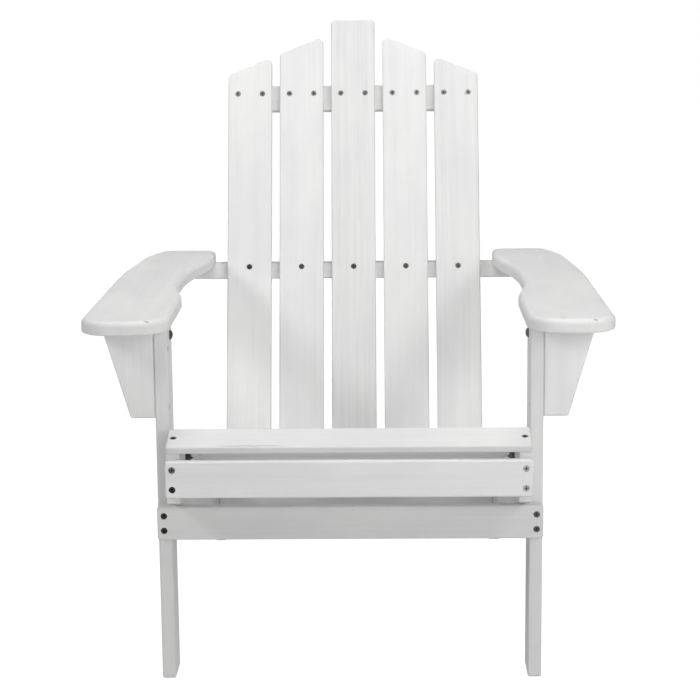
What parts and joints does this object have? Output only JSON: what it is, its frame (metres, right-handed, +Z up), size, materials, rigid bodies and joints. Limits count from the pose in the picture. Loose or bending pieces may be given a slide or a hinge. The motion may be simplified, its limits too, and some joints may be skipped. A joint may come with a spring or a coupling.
{
  "type": "adirondack chair",
  "caption": "Fixed garden lounge chair with a reclined back of stepped, angle-cut slats, a sloping slatted seat, broad flat arms on tapered brackets and seat rails that run down as rear legs.",
  "frame": {"origin": "on the floor, under the middle of the chair's width and depth", "axes": "+X to the right as seen from the front, +Y towards the back, +Z up; a sitter faces -Y"},
  "size_m": [0.685, 0.78, 0.8563],
  "materials": {
    "painted_wood": "white satin paint over softwood, grain faintly raised",
    "screw_steel": "dark zinc, cross-recessed heads",
    "bolt_steel": "dark zinc"
  },
  "bodies": {
    "root": {"apron_screws": "screw_steel", "arm_bracket_left": "painted_wood", "arm_bracket_right": "painted_wood", "arm_cleat_left": "painted_wood", "arm_cleat_right": "painted_wood", "arm_cleat_screws": "screw_steel", "arm_left": "painted_wood", "arm_rail": "painted_wood", "arm_rail_screws": "screw_steel", "arm_right": "painted_wood", "back_lower_screws": "screw_steel", "back_middle_screws": "screw_steel", "back_slat_1": "painted_wood", "back_slat_2": "painted_wood", "back_slat_3": "painted_wood", "back_slat_4": "painted_wood", "back_slat_5": "painted_wood", "back_top_screws": "screw_steel", "bracket_screws": "screw_steel", "cleat_bolts": "bolt_steel", "front_apron": "painted_wood", "front_leg_left": "painted_wood", "front_leg_right": "painted_wood", "leg_bolt_nuts": "bolt_steel", "leg_bolt_washers": "bolt_steel", "leg_bolts": "bolt_steel", "lower_back_rail": "painted_wood", "lower_back_rail_screws": "screw_steel", "lower_front_rail": "painted_wood", "lower_rail_screws": "screw_steel", "rear_stretcher": "painted_wood", "seat_front_screws": "screw_steel", "seat_slat_2": "painted_wood", "seat_slat_3": "painted_wood", "seat_slat_4": "painted_wood", "seat_slat_5": "painted_wood", "seat_slat_6": "painted_wood", "seat_slat_7": "painted_wood", "seat_slat_8": "painted_wood", "seat_slat_front": "painted_wood", "seat_slat_screws": "screw_steel", "seat_stringer_left": "painted_wood", "seat_stringer_right": "painted_wood", "stretcher_screws": "screw_steel", "upper_back_rail": "painted_wood"}
  },
  "joints": []
}
